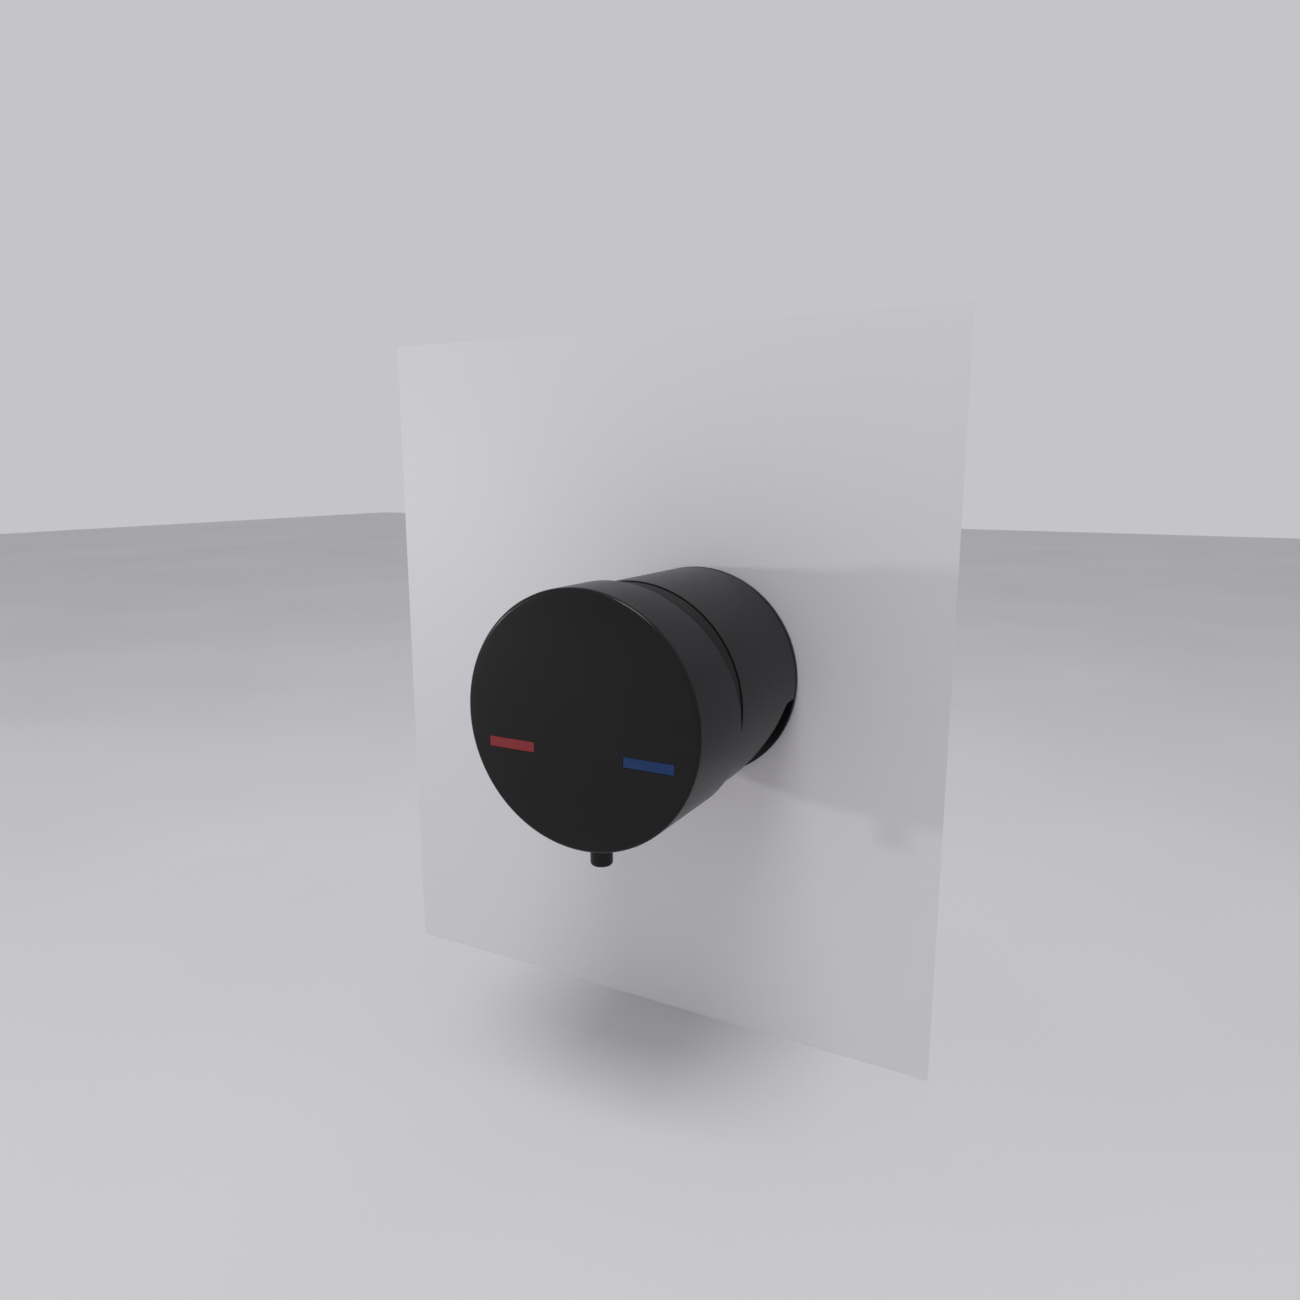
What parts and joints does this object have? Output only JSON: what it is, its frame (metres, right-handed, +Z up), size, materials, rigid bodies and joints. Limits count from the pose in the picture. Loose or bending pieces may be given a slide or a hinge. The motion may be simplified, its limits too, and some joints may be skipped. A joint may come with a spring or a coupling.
{
  "type": "wall mounted bath faucet",
  "caption": "Wall-mounted bath mixer: a satin black cylinder whose round front knob turns for heat and tilts for flow, with a waterfall outlet by the wall.",
  "frame": {"origin": "where the mixer's axis meets the face of the bath wall, at the centre of the wall hole", "axes": "+Y goes into the wall, so the knob faces -Y; +X is to the right for someone facing the knob; +Z is up"},
  "size_m": [0.075, 0.137, 0.0834],
  "materials": {
    "satin_black": "satin black coating",
    "red_enamel": "red enamel, semi-gloss",
    "blue_enamel": "blue enamel, semi-gloss",
    "brass": "machined brass",
    "steel": "stainless steel",
    "rubber": "EPDM rubber",
    "white_plastic": "natural acetal",
    "grey_plastic": "glass-filled plastic",
    "black_plastic": "black plastic",
    "ceramic": "lapped alumina"
  },
  "bodies": {
    "fixed": {"base_plate": "satin_black", "body_sleeve": "satin_black", "trim_collar": "satin_black", "mounting_shank": "brass", "lock_nut": "brass", "hot_inlet_nipple": "brass", "cold_inlet_nipple": "brass", "valve_body": "brass", "cartridge_nut": "brass", "rear_washer": "steel", "hot_strainer": "steel", "cold_strainer": "steel", "hot_check_spring": "steel", "cold_check_spring": "steel", "body_screw_top": "steel", "body_screw_left": "steel", "body_screw_right": "steel", "front_gasket": "rubber", "rear_gasket": "rubber", "hot_nipple_seal": "rubber", "cold_nipple_seal": "rubber", "hot_inlet_seal": "rubber", "cold_inlet_seal": "rubber", "hot_port_seal": "rubber", "cold_port_seal": "rubber", "outlet_port_seal": "rubber", "sleeve_o_ring": "rubber", "hot_check_valve": "white_plastic", "cold_check_valve": "white_plastic", "temperature_stop_ring": "white_plastic", "cartridge_base": "grey_plastic", "cartridge_housing": "grey_plastic", "chamber_ring": "black_plastic", "fixed_disc": "ceramic"},
    "rotor": {"cartridge_rotor": "white_plastic", "lever_pivot_pin": "steel"},
    "knob": {"knob_cap": "satin_black", "grip_pin": "satin_black", "hot_marker": "red_enamel", "cold_marker": "blue_enamel", "knob_hub": "brass", "lever_stem": "steel", "knob_set_screw": "steel"},
    "disc": {"moving_disc": "ceramic", "disc_driver": "white_plastic"},
    "hot_poppet": {"hot_check_poppet": "black_plastic"},
    "cold_poppet": {"cold_check_poppet": "black_plastic"}
  },
  "joints": [
    {"name": "knob_turn", "type": "hinge", "parent": "fixed", "child": "rotor", "pos_m": [0, -0.046, 0], "axis": [0, -1, 0], "range_deg": [-50, 50]},
    {"name": "knob_tilt", "type": "hinge", "parent": "rotor", "child": "knob", "pos_m": [0, -0.046, 0], "axis": [-1, 0, 0], "range_deg": [0, 14]},
    {"name": "disc_slide", "type": "slide", "parent": "rotor", "child": "disc", "axis": [0, 0, -1], "range_m": [0, 0.003]},
    {"name": "hot_check_open", "type": "slide", "parent": "fixed", "child": "hot_poppet", "axis": [0, -1, 0], "range_m": [0, 0.0022], "stiffness_N_per_m": 120, "springref_m": -0.003},
    {"name": "cold_check_open", "type": "slide", "parent": "fixed", "child": "cold_poppet", "axis": [0, -1, 0], "range_m": [0, 0.0022], "stiffness_N_per_m": 120, "springref_m": -0.003}
  ],
  "couplings": [
    {"joint": "disc_slide", "follows": "knob_tilt", "m_per_rad": 0.012}
  ]
}
